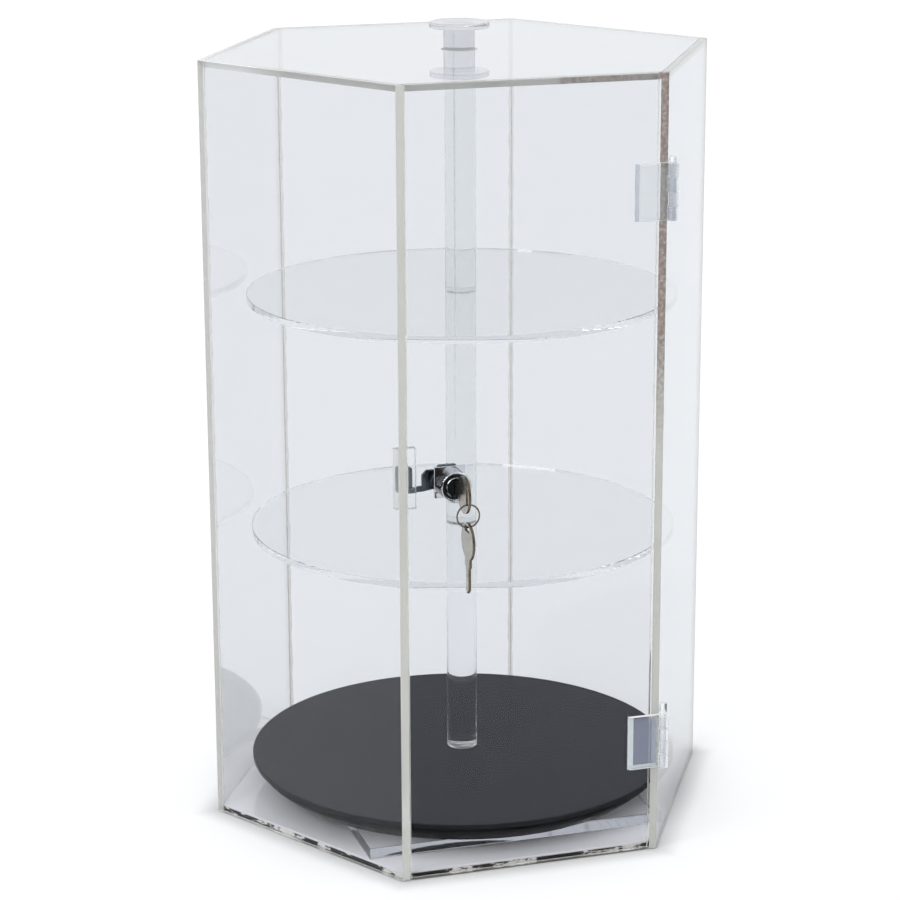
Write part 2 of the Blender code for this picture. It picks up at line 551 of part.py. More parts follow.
def build_lock(swing, turn, strike_edge):
    """Housing, base plate and nut on the door; plug, cam and screw that turn."""
    seat = LOCK_PLATE_THICK + 2 * JOINT_GAP
    lip = LOCK_RADIUS - LOCK_LIP_WIDTH
    bore = PLUG_RADIUS + RUNNING_GAP
    face = LOCK_LENGTH - LOCK_FACE_DEPTH
    profile = [(LOCK_RADIUS - LOCK_EDGE_ROUND, LOCK_LENGTH), (LOCK_RADIUS, LOCK_LENGTH - LOCK_EDGE_ROUND),
               (LOCK_RADIUS, seat), (STEM_RADIUS, seat), (STEM_RADIUS, -STEM_DEPTH), (bore, -STEM_DEPTH),
               (bore, face), (lip - LOCK_EDGE_ROUND, face), (lip, face + LOCK_EDGE_ROUND),
               (lip, LOCK_LENGTH - LOCK_EDGE_ROUND), (lip + LOCK_EDGE_ROUND, LOCK_LENGTH)]
    housing = turned("lock_housing", profile, ROD_SIDES, CHROME, closed=True)
    smooth(place(housing, lock_spot(0.0), FACING_OUT, swing), 50.0)

    hole = circle(STEM_RADIUS + JOINT_GAP, SMALL_SIDES)
    half = LOCK_PLATE_WIDTH / 2
    square = [(half, half), (-half, half), (-half, -half), (half, -half)]
    base = plate("lock_base_plate", [square, hole], LOCK_PLATE_THICK, CHROME, EDGE_CHAMFER)
    place(base, lock_spot(JOINT_GAP), FACING_OUT, swing)
    hexagon = circle(NUT_WIDTH / 2 / math.cos(math.pi / 6), 6)
    nut = plate("lock_nut", [hexagon, hole], NUT_THICK, CHROME, EDGE_CHAMFER)
    place(nut, lock_spot(-SHEET - JOINT_GAP - NUT_THICK), FACING_OUT, swing)

    shank = CAM_SCREW_SHANK_RADIUS + JOINT_GAP
    boss_end = -CAM_DEPTH - CAM_THICK
    shank_end = boss_end + CAM_SCREW_SHANK_LENGTH
    profile = [(0.0, PLUG_FRONT), (PLUG_RADIUS - LOCK_EDGE_ROUND, PLUG_FRONT),
               (PLUG_RADIUS, PLUG_FRONT - LOCK_EDGE_ROUND), (PLUG_RADIUS, -STEM_DEPTH), (0.0, -STEM_DEPTH)]
    plug = turned("lock_plug", profile, ROD_SIDES, CHROME, closed=False)
    place(plug, lock_spot(0.0), FACING_OUT, turn)
    half = BOSS_WIDTH / 2
    boss = block("plug_boss", (-half, -half, boss_end), (half, half, -STEM_DEPTH + LOCK_EDGE_ROUND))
    bore_length = shank_end + JOINT_GAP - 2 * boss_end
    bore = round_helper("plug_screw_bore", shank, bore_length, HOLE_SIDES)
    bore.location = (0.0, 0.0, 2 * boss_end)
    half_width = KEY_THICK / 2 + KEYWAY_SIDE_GAP
    half_height = BLADE_WIDTH / 2 + KEYWAY_SIDE_GAP
    end = KEY_FRONT - BLADE_LENGTH - KEYWAY_SIDE_GAP
    keyway = block("plug_keyway", (-half_width, -half_height, end), (half_width, half_height, LOCK_LENGTH))
    for helper, operation in ((boss, "UNION"), (bore, "DIFFERENCE"), (keyway, "DIFFERENCE")):
        helper.parent = plug
        combine(plug, helper, operation)
    smooth(plug, 40.0)

    tip = strike_edge - CAM_OVERLAP - LOCK_X
    tip_inner = tip + CAM_TIP_WIDTH
    bar_top = -CAM_BAR_DROP + CAM_BAR_HEIGHT
    round_end = CAM_TIP_WIDTH / 2
    crown = CAM_TIP_RISE - round_end
    hub = CAM_HUB_RADIUS
    outline = [*arc(hub, -90, 90, 3 * CORNER_STEPS), (CAM_BODY_CHAMFER - CAM_BODY_REACH, hub),
               (-CAM_BODY_REACH, hub - CAM_BODY_CHAMFER), (-CAM_BODY_REACH, bar_top), (tip_inner, bar_top),
               *arc(round_end, 0, 180, 2 * CORNER_STEPS, tip + round_end, crown),
               *arc(round_end, 180, 270, CORNER_STEPS, tip + round_end, -CAM_BAR_DROP + round_end),
               (-CAM_BODY_REACH, -CAM_BAR_DROP)]
    half = BOSS_WIDTH / 2 + JOINT_GAP
    square = [(half, half), (-half, half), (-half, -half), (half, -half)]
    cam = plate("hook_cam", [outline, square], CAM_THICK, CHROME)
    place(cam, lock_spot(-CAM_DEPTH - CAM_THICK), FACING_OUT, turn)
    head_top = boss_end - JOINT_GAP
    shank_top = head_top + CAM_SCREW_SHANK_LENGTH
    head_low = head_top - CAM_SCREW_HEAD
    profile = [(0.0, shank_top), (CAM_SCREW_SHANK_RADIUS, shank_top), (CAM_SCREW_SHANK_RADIUS, head_top),
               (CAM_SCREW_RADIUS, head_top), (CAM_SCREW_RADIUS, head_top - CAM_SCREW_HEAD / 2),
               (CAM_SCREW_RADIUS / 2, head_low), (0.0, head_low)]
    screw = turned("cam_screw", profile, SMALL_SIDES, STEEL, closed=False)
    smooth(place(screw, lock_spot(0.0), FACING_OUT, turn))


def key_blank(name):
    """Key with its bow centred on the origin, blade along local -X, ring hole towards local +X."""
    neck = BOW_NECK_WIDTH / 2
    half = BLADE_WIDTH / 2
    open_angle = math.degrees(math.asin(neck / BOW_RADIUS))
    shoulder = -BOW_RADIUS - BOW_NECK
    tip = shoulder - BLADE_LENGTH
    pitch = BLADE_LENGTH / (BIT_COUNT + 2)
    cuts = []
    for k in range(BIT_COUNT):
        start = shoulder - pitch * (k + 1)
        low = half - BIT_DEPTH
        cuts += [(start, half), (start - pitch / 3, low), (start - 2 * pitch / 3, low)]
    cuts.append((shoulder - pitch * (BIT_COUNT + 1), half))
    bow = arc(BOW_RADIUS, open_angle - 180, 180 - open_angle, SMALL_SIDES)
    outline = [*bow, (shoulder, neck), (shoulder, half), *cuts,
               (tip, 0.0), (tip + half, -half), (shoulder, -half), (shoulder, -neck)]
    end = KEY_SLOT_WIDTH / 2
    reach = KEY_SLOT_LENGTH / 2 - end
    slot = (arc(end, 0, 180, HOLE_SIDES // 2, KEY_HOLE_OFFSET, reach)
            + arc(end, 180, 360, HOLE_SIDES // 2, KEY_HOLE_OFFSET, -reach))
    return plate(name, [outline, slot], KEY_THICK, NICKEL)


def build_keys(slide, ring_swing, spare_swing, hole_spot, ring_low):
    """Key in the lock, the wire ring through its bow, and the spare key on the ring."""
    into_lock = Matrix(((0, 0, -1), (-1, 0, 0), (0, 1, 0))).to_euler()
    hanging = Matrix(((0, 0, -1), (0, 1, 0), (1, 0, 0))).to_euler()
    bow = Vector(lock_spot(BOW_CENTRE)) + Vector((KEY_THICK / 2, 0.0, 0.0))
    place(key_blank("lock_key"), bow, into_lock, slide)
    mesh = bpy.data.meshes.new("key_ring")
    bm = bmesh.new()
    section = bmesh.ops.create_circle(bm, segments=WIRE_SIDES, radius=RING_WIRE_RADIUS,
                                      matrix=Matrix.Translation((RING_RADIUS, 0.0, 0.0))
                                      @ Matrix.Rotation(math.pi / 2, 4, "X"))
    bmesh.ops.spin(bm, geom=section["verts"] + bm.edges[:], cent=(0.0, 0.0, 0.0), axis=(0.0, 0.0, 1.0),
                   angle=2 * math.pi, steps=RING_STEPS, use_merge=True)
    bmesh.ops.recalc_face_normals(bm, faces=bm.faces)
    bm.to_mesh(mesh)
    bm.free()
    ring = add_object("key_ring", mesh, WIRE)
    for face in mesh.polygons:
        face.use_smooth = True
    place(ring, hole_spot - Vector((0.0, 0.0, RING_SAG + RING_RADIUS)), FACING_OUT, ring_swing)
    spare_bow = ring_low - Vector((-KEY_THICK / 2, 0.0, SPARE_SAG + KEY_HOLE_OFFSET))
    place(key_blank("spare_key"), spare_bow, hanging, spare_swing)


edge = build_case()
carousel_axis = joint_empty("carousel_axis", (0.0, 0.0, DISC_Z))
cage_axis = joint_empty("cage_axis", (0.0, 0.0, PAN_Z))
door_axis = joint_empty("door_axis", (HINGE_X, HINGE_Y, 0.0))
plug_axis = joint_empty("plug_axis", lock_spot(0.0), door_axis)
key_axis = joint_empty("key_axis", lock_spot(KEY_FRONT), plug_axis)
key_hole = Vector(lock_spot(BOW_CENTRE + KEY_HOLE_OFFSET))
ring_top = key_hole - Vector((0.0, 0.0, RING_SAG))
ring_axis = joint_empty("ring_axis", ring_top, key_axis)
ring_bottom = ring_top - Vector((0.0, 0.0, 2 * RING_RADIUS))
spare_axis = joint_empty("spare_axis", ring_bottom, ring_axis)
build_turntable(carousel_axis, cage_axis)
build_carousel(carousel_axis)
build_door(door_axis)
build_lock(door_axis, plug_axis, edge)
build_keys(key_axis, ring_axis, spare_axis, key_hole, ring_bottom)
bpy.context.view_layer.update()
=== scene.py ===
"""Looks of the rotating display case: clear acrylic, black turntable, chrome lock and nickel keys."""
import math

import bmesh
import bpy
from mathutils import Matrix, Vector


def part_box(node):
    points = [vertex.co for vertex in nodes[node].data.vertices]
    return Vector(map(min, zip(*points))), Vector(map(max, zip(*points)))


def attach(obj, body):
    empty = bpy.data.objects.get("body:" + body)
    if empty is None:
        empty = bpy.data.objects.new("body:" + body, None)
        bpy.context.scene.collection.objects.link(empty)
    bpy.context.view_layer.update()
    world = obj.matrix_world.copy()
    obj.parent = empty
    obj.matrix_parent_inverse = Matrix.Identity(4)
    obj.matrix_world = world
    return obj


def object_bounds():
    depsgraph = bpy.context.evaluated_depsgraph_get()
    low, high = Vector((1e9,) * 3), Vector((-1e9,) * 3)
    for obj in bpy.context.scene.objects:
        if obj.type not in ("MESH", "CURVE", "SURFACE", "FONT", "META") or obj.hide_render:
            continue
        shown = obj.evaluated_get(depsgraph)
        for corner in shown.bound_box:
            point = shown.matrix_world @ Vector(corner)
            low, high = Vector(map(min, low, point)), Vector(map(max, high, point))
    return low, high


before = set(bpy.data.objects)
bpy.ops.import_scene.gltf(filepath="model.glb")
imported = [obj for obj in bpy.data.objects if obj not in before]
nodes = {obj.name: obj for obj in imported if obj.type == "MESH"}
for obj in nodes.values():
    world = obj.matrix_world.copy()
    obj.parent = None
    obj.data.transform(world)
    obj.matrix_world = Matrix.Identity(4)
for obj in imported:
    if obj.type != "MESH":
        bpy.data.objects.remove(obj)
cad_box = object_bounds()

MM = 0.001
# Sizes of the case, which the cement, the stains on the edges and the painted shade on the floor follow
SIDE = 173 * MM
HEIGHT = 508 * MM
SHEET_THICK = 4.5 * MM
APOTHEM = SIDE * math.cos(math.pi / 6)
INNER_CORNER = SIDE - SHEET_THICK / math.cos(math.pi / 6)
# Half the thickness of the cement between two mitred sheets
MITRE_FILM_HALF = 0.17 * MM
ACRYLIC_IOR = 1.49
UP = Vector((0.0, 0.0, 1.0))
DOWN = Vector((0.0, 0.0, -1.0))
# Cosines from which a face counts as part of a broad side, as looking along a direction and as rounded
BROAD_SIDE = 0.95
SQUARE_ON = 0.9
ROUNDED = 0.3
# Colour sockets of the mix node, whose names its other sockets share
MIX_A = 6
MIX_B = 7
MIX_RESULT = 2
BACK_WALLS = ("back_left_wall", "back_wall", "back_right_wall")
UPPER_LEAVES = ("upper_hinge_wall_leaf", "upper_hinge_door_leaf")
LOWER_LEAVES = ("lower_hinge_wall_leaf", "lower_hinge_door_leaf")
HINGE_PINS = ("upper_hinge_pin", "lower_hinge_pin")


def linear(hex_colour):
    """Linear RGBA of an sRGB hex colour."""
    channels = [int(hex_colour[k:k + 2], 16) / 255 for k in (1, 3, 5)]
    return (*[c / 12.92 if c <= 0.04045 else ((c + 0.055) / 1.055) ** 2.4 for c in channels], 1.0)


def per_mm(size):
    """Scale of a pattern in object metres whose features repeat every so many millimetres."""
    return 1 / (size * MM)


def add(tree, kind, inputs=None, **settings):
    """Adds a node: settings go on the node, an input is linked when it is a socket and set otherwise."""
    made = tree.nodes.new(kind)
    for name, value in settings.items():
        setattr(made, name, value)
    for key, value in (inputs or {}).items():
        if isinstance(value, bpy.types.NodeSocket):
            tree.links.new(value, made.inputs[key])
        else:
            made.inputs[key].default_value = value
    return made


def new_finish(name):
    """Empty node material, its tree, its output node and the place on the piece that its patterns follow."""
    finish = bpy.data.materials.new(name)
    finish.use_nodes = True
    tree = finish.node_tree
    tree.nodes.clear()
    output = add(tree, "ShaderNodeOutputMaterial")
    place = add(tree, "ShaderNodeTexCoord").outputs["Object"]
    return finish, tree, output, place


def clear_plastic(name, tint, lamp_tint, wave_mm, wave_height_mm, rough=0.0, mirror=1.0, tip=None):
    """Clear acrylic: a refracting body with a faint surface wave, which lamps shine through.

    mirror dims what the surface reflects squarely, and tip is the tint of what stands above the top panel.
    """
    finish, tree, output, place = new_finish(name)
    colour = linear(tint)
    if tip:
        split = add(tree, "ShaderNodeSeparateXYZ", {"Vector": place})
        above = add(tree, "ShaderNodeMapRange",
                    {"Value": split.outputs["Z"], "From Min": HEIGHT - 2 * MM, "From Max": HEIGHT})
        colour = add(tree, "ShaderNodeMix",
                     {"Factor": above.outputs["Result"], MIX_A: linear(tint), MIX_B: linear(tip)},
                     data_type="RGBA").outputs[MIX_RESULT]
    wave = add(tree, "ShaderNodeTexNoise", {"Vector": place, "Scale": per_mm(wave_mm), "Detail": 1.0})
    bump = add(tree, "ShaderNodeBump",
               {"Height": wave.outputs["Fac"], "Distance": wave_height_mm * MM, "Strength": 1.0})
    body = add(tree, "ShaderNodeBsdfPrincipled",
               {"Base Color": colour, "Transmission Weight": 1.0, "IOR": ACRYLIC_IOR, "Roughness": rough,
                "Specular Tint": (mirror, mirror, mirror, 1.0), "Normal": bump.outputs["Normal"]})
    through = add(tree, "ShaderNodeBsdfTransparent", {"Color": linear(lamp_tint)})
    ray = add(tree, "ShaderNodeLightPath")
    lit = add(tree, "ShaderNodeMixShader",
              {0: ray.outputs["Is Shadow Ray"], 1: body.outputs["BSDF"], 2: through.outputs["BSDF"]})
    mix = add(tree, "ShaderNodeMixShader",
              {0: ray.outputs["Is Diffuse Ray"], 1: lit.outputs["Shader"], 2: through.outputs["BSDF"]})
    tree.links.new(mix.outputs["Shader"], output.inputs["Surface"])
    return finish


def satin_black(name, dark, light):
    """Black ABS with a fine moulded grain, drawn coarser than it is so that it shows: speckled between its
    two given tones.
    """
    finish, tree, output, place = new_finish(name)
    grain = add(tree, "ShaderNodeTexNoise", {"Vector": place, "Scale": per_mm(1.6), "Detail": 2.0})
    haze = add(tree, "ShaderNodeTexNoise", {"Vector": place, "Scale": per_mm(60), "Detail": 3.0})
    tone = add(tree, "ShaderNodeMix",
               {"Factor": grain.outputs["Fac"], MIX_A: linear(dark), MIX_B: linear(light)}, data_type="RGBA")
    rough = add(tree, "ShaderNodeMapRange", {"Value": haze.outputs["Fac"], "To Min": 0.1, "To Max": 0.16})
    body = add(tree, "ShaderNodeBsdfPrincipled",
               {"Base Color": tone.outputs[MIX_RESULT], "IOR": 1.53, "Specular IOR Level": 0.026,
                "Roughness": rough.outputs["Result"]})
    tree.links.new(body.outputs["BSDF"], output.inputs["Surface"])
    return finish


def metal(name, bright, dull, smooth, worn, patch_mm, scratch_mm):
    """Metal whose finish varies in patches, with fine scratches drawn 0.4 mm apart so that they show."""
    finish, tree, output, place = new_finish(name)
    patches = add(tree, "ShaderNodeTexNoise", {"Vector": place, "Scale": per_mm(patch_mm), "Detail": 4.0})
    tone = add(tree, "ShaderNodeMix",
               {"Factor": patches.outputs["Fac"], MIX_A: linear(bright), MIX_B: linear(dull)},
               data_type="RGBA")
    rough = add(tree, "ShaderNodeMapRange",
                {"Value": patches.outputs["Fac"], "To Min": smooth, "To Max": worn})
    fine = add(tree, "ShaderNodeTexNoise", {"Vector": place, "Scale": per_mm(0.4), "Detail": 2.0})
    bump = add(tree, "ShaderNodeBump",
               {"Height": fine.outputs["Fac"], "Distance": scratch_mm * MM, "Strength": 0.5})
    body = add(tree, "ShaderNodeBsdfPrincipled",
               {"Base Color": tone.outputs[MIX_RESULT], "Metallic": 1.0,
                "Roughness": rough.outputs["Result"], "Normal": bump.outputs["Normal"]})
    tree.links.new(body.outputs["BSDF"], output.inputs["Surface"])
    return finish


def chrome_painted_dark_reflection():
    """Chromium plate with a painted dark reflection: smoky grey and a little rougher on the left of the lock,
    from a little below its axis upwards.
    """
    low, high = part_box("lock_housing")
    axis = (low + high) / 2
    finish, tree, output, place = new_finish("Chromium plate on die-cast zinc, painted dark reflection")
    split = add(tree, "ShaderNodeSeparateXYZ", {"Vector": place})
    beside = add(tree, "ShaderNodeMapRange",
                 {"Value": split.outputs["X"], "From Min": axis.x - 3 * MM, "From Max": axis.x - 6 * MM})
    above = add(tree, "ShaderNodeMapRange",
                {"Value": split.outputs["Z"], "From Min": axis.z - 6 * MM, "From Max": axis.z - 4 * MM})
    painted_dark = add(tree, "ShaderNodeMath", {0: beside.outputs["Result"], 1: above.outputs["Result"]},
                operation="MULTIPLY")
    tone = add(tree, "ShaderNodeMix",
               {"Factor": painted_dark.outputs["Value"], MIX_A: linear("#c4c7cb"), MIX_B: linear("#26292b")},
               data_type="RGBA")
    rough = add(tree, "ShaderNodeMapRange", {"Value": painted_dark.outputs["Value"], "To Min": 0.05, "To Max": 0.14})
    body = add(tree, "ShaderNodeBsdfPrincipled",
               {"Base Color": tone.outputs[MIX_RESULT], "Metallic": 1.0,
                "Roughness": rough.outputs["Result"]})
    tree.links.new(body.outputs["BSDF"], output.inputs["Surface"])
    return finish


def base_painted_light():
    """Acrylic painted pale and milky, as painted light standing for the white floor glowing through it: pale,
    with a soft shine, clearer in patches.
    """
    finish, tree, output, place = new_finish("Cast acrylic sheet, painted milky white")
    milky_patches = add(tree, "ShaderNodeTexNoise", {"Vector": place, "Scale": per_mm(25), "Detail": 4.0})
    clear = add(tree, "ShaderNodeMapRange", {"Value": milky_patches.outputs["Fac"], "To Min": 0.06, "To Max": 0.14})
    body = add(tree, "ShaderNodeBsdfPrincipled",
               {"Base Color": linear("#fbfbff"), "IOR": ACRYLIC_IOR, "Roughness": 0.05,
                "Specular Tint": (0.5, 0.5, 0.5, 1.0), "Transmission Weight": clear.outputs["Result"]})
    tree.links.new(body.outputs["BSDF"], output.inputs["Surface"])
    return finish


def cage_plastic():
    """Natural acetal, injection moulded: milky and slightly waxy."""
    finish, tree, output, place = new_finish("Natural acetal, moulded")
    cloud = add(tree, "ShaderNodeTexNoise", {"Vector": place, "Scale": per_mm(12), "Detail": 2.0})
    tone = add(tree, "ShaderNodeMix",
               {"Factor": cloud.outputs["Fac"], MIX_A: linear("#cfc9ba"), MIX_B: linear("#bdb6a5")},
               data_type="RGBA")
    body = add(tree, "ShaderNodeBsdfPrincipled",
               {"Base Color": tone.outputs[MIX_RESULT], "Roughness": 0.45, "IOR": 1.48})
    tree.links.new(body.outputs["BSDF"], output.inputs["Surface"])
    return finish


def cut_edge(name, pale, dark, clear, rough):
    """Sawn and scraped acrylic edge: milky, with saw marks, grey-brown in a zone by the upper hinge, white at
    the left.
    """
    finish, tree, output, place = new_finish(name)
    split = add(tree, "ShaderNodeSeparateXYZ", {"Vector": place})
    marks = add(tree, "ShaderNodeTexNoise", {"Vector": place, "Scale": per_mm(2.5), "Detail": 3.0})
    # Where on each axis, in millimetres, the grey-brown tone starts and where it is full
    grey_brown_zone = {"X": (12, 20), "Y": (-142, -146), "Z": (250, 350)}
    grey_brown = marks.outputs["Fac"]
    for axis, (start, full) in grey_brown_zone.items():
        near = add(tree, "ShaderNodeMapRange",
                   {"Value": split.outputs[axis], "From Min": start * MM, "From Max": full * MM})
        grey_brown = add(tree, "ShaderNodeMath", {0: grey_brown, 1: near.outputs["Result"]},
                    operation="MULTIPLY").outputs["Value"]
    level = add(tree, "ShaderNodeMapRange", {"Value": grey_brown, "From Min": 0.1, "From Max": 0.55})
    tone = add(tree, "ShaderNodeMix",
               {"Factor": level.outputs["Result"], MIX_A: linear(pale), MIX_B: linear(dark)},
               data_type="RGBA")
    # The edge at the left-hand corner, white
    left = add(tree, "ShaderNodeMapRange",
               {"Value": split.outputs["X"], "From Min": -130 * MM, "From Max": -150 * MM})
    tone = add(tree, "ShaderNodeMix",
               {"Factor": left.outputs["Result"], MIX_A: tone.outputs[MIX_RESULT], MIX_B: linear("#ffffff")},
               data_type="RGBA")
    bump = add(tree, "ShaderNodeBump",
               {"Height": marks.outputs["Fac"], "Distance": 0.06 * MM, "Strength": 0.5})
    body = add(tree, "ShaderNodeBsdfPrincipled",
               {"Base Color": tone.outputs[MIX_RESULT], "Transmission Weight": clear, "IOR": ACRYLIC_IOR,
                "Roughness": rough, "Normal": bump.outputs["Normal"]})
    tree.links.new(body.outputs["BSDF"], output.inputs["Surface"])
    return finish


def smeared_edge(name, clean_from, darkest, clear):
    """Rough-sawn acrylic smeared with dark cement: jagged black, brown and bright chips below a height.

    The chips are black up to about the noise level darkest; clear is how far the bright ones are see-through.
    """
    finish, tree, output, place = new_finish(name)
    # The chips are drawn out along the edge, about three times as long as they are high
    along = add(tree, "ShaderNodeMapping", {"Vector": place, "Scale": (0.35, 0.35, 1.0)})
    chips = add(tree, "ShaderNodeTexNoise",
                {"Vector": along.outputs["Vector"], "Scale": per_mm(2.4), "Detail": 4.0, "Roughness": 0.65})
    runs = add(tree, "ShaderNodeTexNoise", {"Vector": place, "Scale": per_mm(22), "Detail": 1.0})
    both = add(tree, "ShaderNodeMath", {0: chips.outputs["Fac"], 1: runs.outputs["Fac"]}, operation="ADD")
    level = add(tree, "ShaderNodeMapRange",
                {"Value": both.outputs["Value"], "From Min": darkest, "From Max": darkest + 0.3})
    tone = add(tree, "ShaderNodeValToRGB", {"Fac": level.outputs["Result"]})
    stops = tone.color_ramp.elements
    stops[0].position = 0.3
    stops[0].color = linear("#15120f")
    stops[1].position = 0.75
    stops[1].color = linear("#f1efec")
    brown = stops.new(0.5)
    brown.color = linear("#4a3f35")
    split = add(tree, "ShaderNodeSeparateXYZ", {"Vector": place})
    upper = add(tree, "ShaderNodeMapRange",
                {"Value": split.outputs["Z"], "From Min": clean_from, "From Max": clean_from + 0.6 * MM})
    clean = add(tree, "ShaderNodeMix",
                {"Factor": upper.outputs["Result"], MIX_A: tone.outputs["Color"], MIX_B: linear("#e6e6ea")},
                data_type="RGBA")
    glassy = add(tree, "ShaderNodeMath", {0: level.outputs["Result"], 1: clear}, operation="MULTIPLY")
    body = add(tree, "ShaderNodeBsdfPrincipled",
               {"Base Color": clean.outputs[MIX_RESULT], "Roughness": 0.5 - 0.4 * clear, "IOR": ACRYLIC_IOR,
                "Transmission Weight": glassy.outputs["Value"]})
    tree.links.new(body.outputs["BSDF"], output.inputs["Surface"])
    return finish


def dried_cement(name, colour, cover, bubble_mm):
    """Dried solvent cement: a thin haze with small clear bubbles in it."""
    finish, tree, output, place = new_finish(name)
    bubbles = add(tree, "ShaderNodeTexVoronoi", {"Vector": place, "Scale": per_mm(bubble_mm)})
    haze = add(tree, "ShaderNodeMapRange",
               {"Value": bubbles.outputs["Distance"], "From Min": 0.12, "From Max": 0.2,
                "To Min": cover * 0.3, "To Max": cover})
    body = add(tree, "ShaderNodeBsdfPrincipled",
               {"Base Color": linear(colour), "Roughness": 0.55, "IOR": 1.48,
                "Alpha": haze.outputs["Result"]})
    tree.links.new(body.outputs["BSDF"], output.inputs["Surface"])
    return finish


def dress(names, finish, edge=None):
    """Puts one finish on several frame nodes, and another on the narrow faces round their broad sides."""
    for name in names:
        mesh = nodes[name].data
        mesh.materials.clear()
        mesh.materials.append(finish)
        if edge:
            mesh.materials.append(edge)
            broad = max(mesh.polygons, key=lambda face: face.area).normal.copy()
            for face in mesh.polygons:
                face.material_index = 0 if abs(face.normal.dot(broad)) > BROAD_SIDE else 1


def finish_ends(name, finish, directions):
    """Puts a finish on the faces of a node that look in one of some directions."""
    mesh = nodes[name].data
    mesh.materials.append(finish)
    for face in mesh.polygons:
        if any(face.normal.dot(direction) > SQUARE_ON for direction in directions):
            face.material_index = len(mesh.materials) - 1


def finish_lock_face(recess, bright):
    """Dark recess between the lock's bright lip and the plug, whose rounded edge is rubbed bright."""
    housing = nodes["lock_housing"].data
    housing.materials.append(recess)
    housing.materials.append(bright)
    lip = min(corner.co.y for corner in housing.vertices) + 0.3 * MM
    for face in housing.polygons:
        if face.center.y < lip:
            face.material_index = 2
        elif face.normal.y < -SQUARE_ON:
            face.material_index = 1
    plug = nodes["lock_plug"].data
    plug.materials.append(bright)
    for face in plug.polygons:
        if -SQUARE_ON < face.normal.y < -ROUNDED:
            face.material_index = 1


def add_piece(name, corners, faces, finish, body):
    """Links a new piece and makes it ride on one of the frame's bodies."""
    mesh = bpy.data.meshes.new(name)
    mesh.from_pydata(corners, [], faces)
    bm = bmesh.new()
    bm.from_mesh(mesh)
    bmesh.ops.recalc_face_normals(bm, faces=bm.faces)
    bm.to_mesh(mesh)
    bm.free()
    mesh.materials.append(finish)
    piece = bpy.data.objects.new(name, mesh)
    bpy.context.scene.collection.objects.link(piece)
    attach(piece, body)


def cement_seam(name, angle, section, finish):
    """Strip of cement up a mitred corner; its section follows how far it was squeezed out at each height."""
    out = Vector((math.cos(angle), math.sin(angle), 0.0))
    across = Vector((-out.y, out.x, 0.0))
    end_gap = 0.5 * MM
    width = 1.7 * MM
    unevenness = 0.25
    steps = 96
    corners = []
    for k in range(steps + 1):
        rise = UP * (end_gap + (HEIGHT - 2 * end_gap) * k / steps)
        squeezed = width * (1 + unevenness * math.sin(k * 1.7 + angle) * math.sin(k * 0.61))
        corners += [out * radius + across * offset + rise for radius, offset in section(squeezed)]
    count = len(corners) // (steps + 1)
    faces = [tuple(reversed(range(count))), tuple(count * steps + k for k in range(count))]
    for k in range(steps):
        low = count * k
        for a in range(count):
            b = (a + 1) % count
            faces.append((low + a, low + b, low + count + b, low + count + a))
    add_piece(name, corners, faces, finish, "case")


def mitre_film(squeezed):
    """Section of the cement between the two mitred sheets, as thick at every height."""
    outer = SIDE - 0.4 * MM
    return [(outer, -MITRE_FILM_HALF), (outer, MITRE_FILM_HALF),
            (INNER_CORNER, MITRE_FILM_HALF), (INNER_CORNER, -MITRE_FILM_HALF)]


def corner_bead(squeezed):
    """Section of the cement that was squeezed out into the corner."""
    root = INNER_CORNER - 0.05 * MM
    crest = root - 0.6 * squeezed
    return [(root, -MITRE_FILM_HALF), (root, MITRE_FILM_HALF), (crest, squeezed), (crest, -squeezed)]


def hinge_cement(name, along, outward, body, film, bead):
    """Cement under a hinge leaf: a hazy film with one rounded corner, and a bead on two sides."""
    leaf = nodes[name].matrix_world
    spots = [leaf @ corner.co for corner in nodes[name].data.vertices]
    free = max(spot.dot(along) for spot in spots)
    seat = min(spot.dot(outward) for spot in spots)
    low = min(spot.z for spot in spots)
    high = max(spot.z for spot in spots)
    # The film stops short of the leaf's edges, and the bead fills the rest of its free side and its foot
    film_hinge = free - 19.5 * MM
    film_free = free - 3.6 * MM
    film_low = low + 2.4 * MM
    film_high = high - 1.6 * MM
    bead_free = free - 0.2 * MM
    bead_low = low + 0.2 * MM
    bead_high = high - 1.0 * MM
    bend = 5 * MM
    turns = [math.radians(90 * k / 8) for k in range(9)]
    rounded = [(film_hinge + bend * (1 - math.cos(t)), film_high - bend * (1 - math.sin(t))) for t in turns]
    film_outline = [(film_free, film_high), (film_free, film_low), (film_hinge, film_low), *rounded]
    bead_outline = [(bead_free, bead_high), (bead_free, bead_low), (film_hinge, bead_low),
                    (film_hinge, film_low), (film_free, film_low), (film_free, bead_high)]
    # Both lie in the gap of 0.3 mm that the leaf leaves behind it
    lifts = (-0.24 * MM, -0.06 * MM)
    for kind, outline, finish in (("film", film_outline, film), ("bead", bead_outline, bead)):
        count = len(outline)
        corners = [along * u + outward * (seat + lift) + UP * z for lift in lifts for u, z in outline]
        faces = [tuple(range(count)), tuple(range(2 * count - 1, count - 1, -1))]
        faces += [(k, count + k, count + (k + 1) % count, (k + 1) % count) for k in range(count)]
        add_piece(f"{name}_cement_{kind}", corners, faces, finish, body)


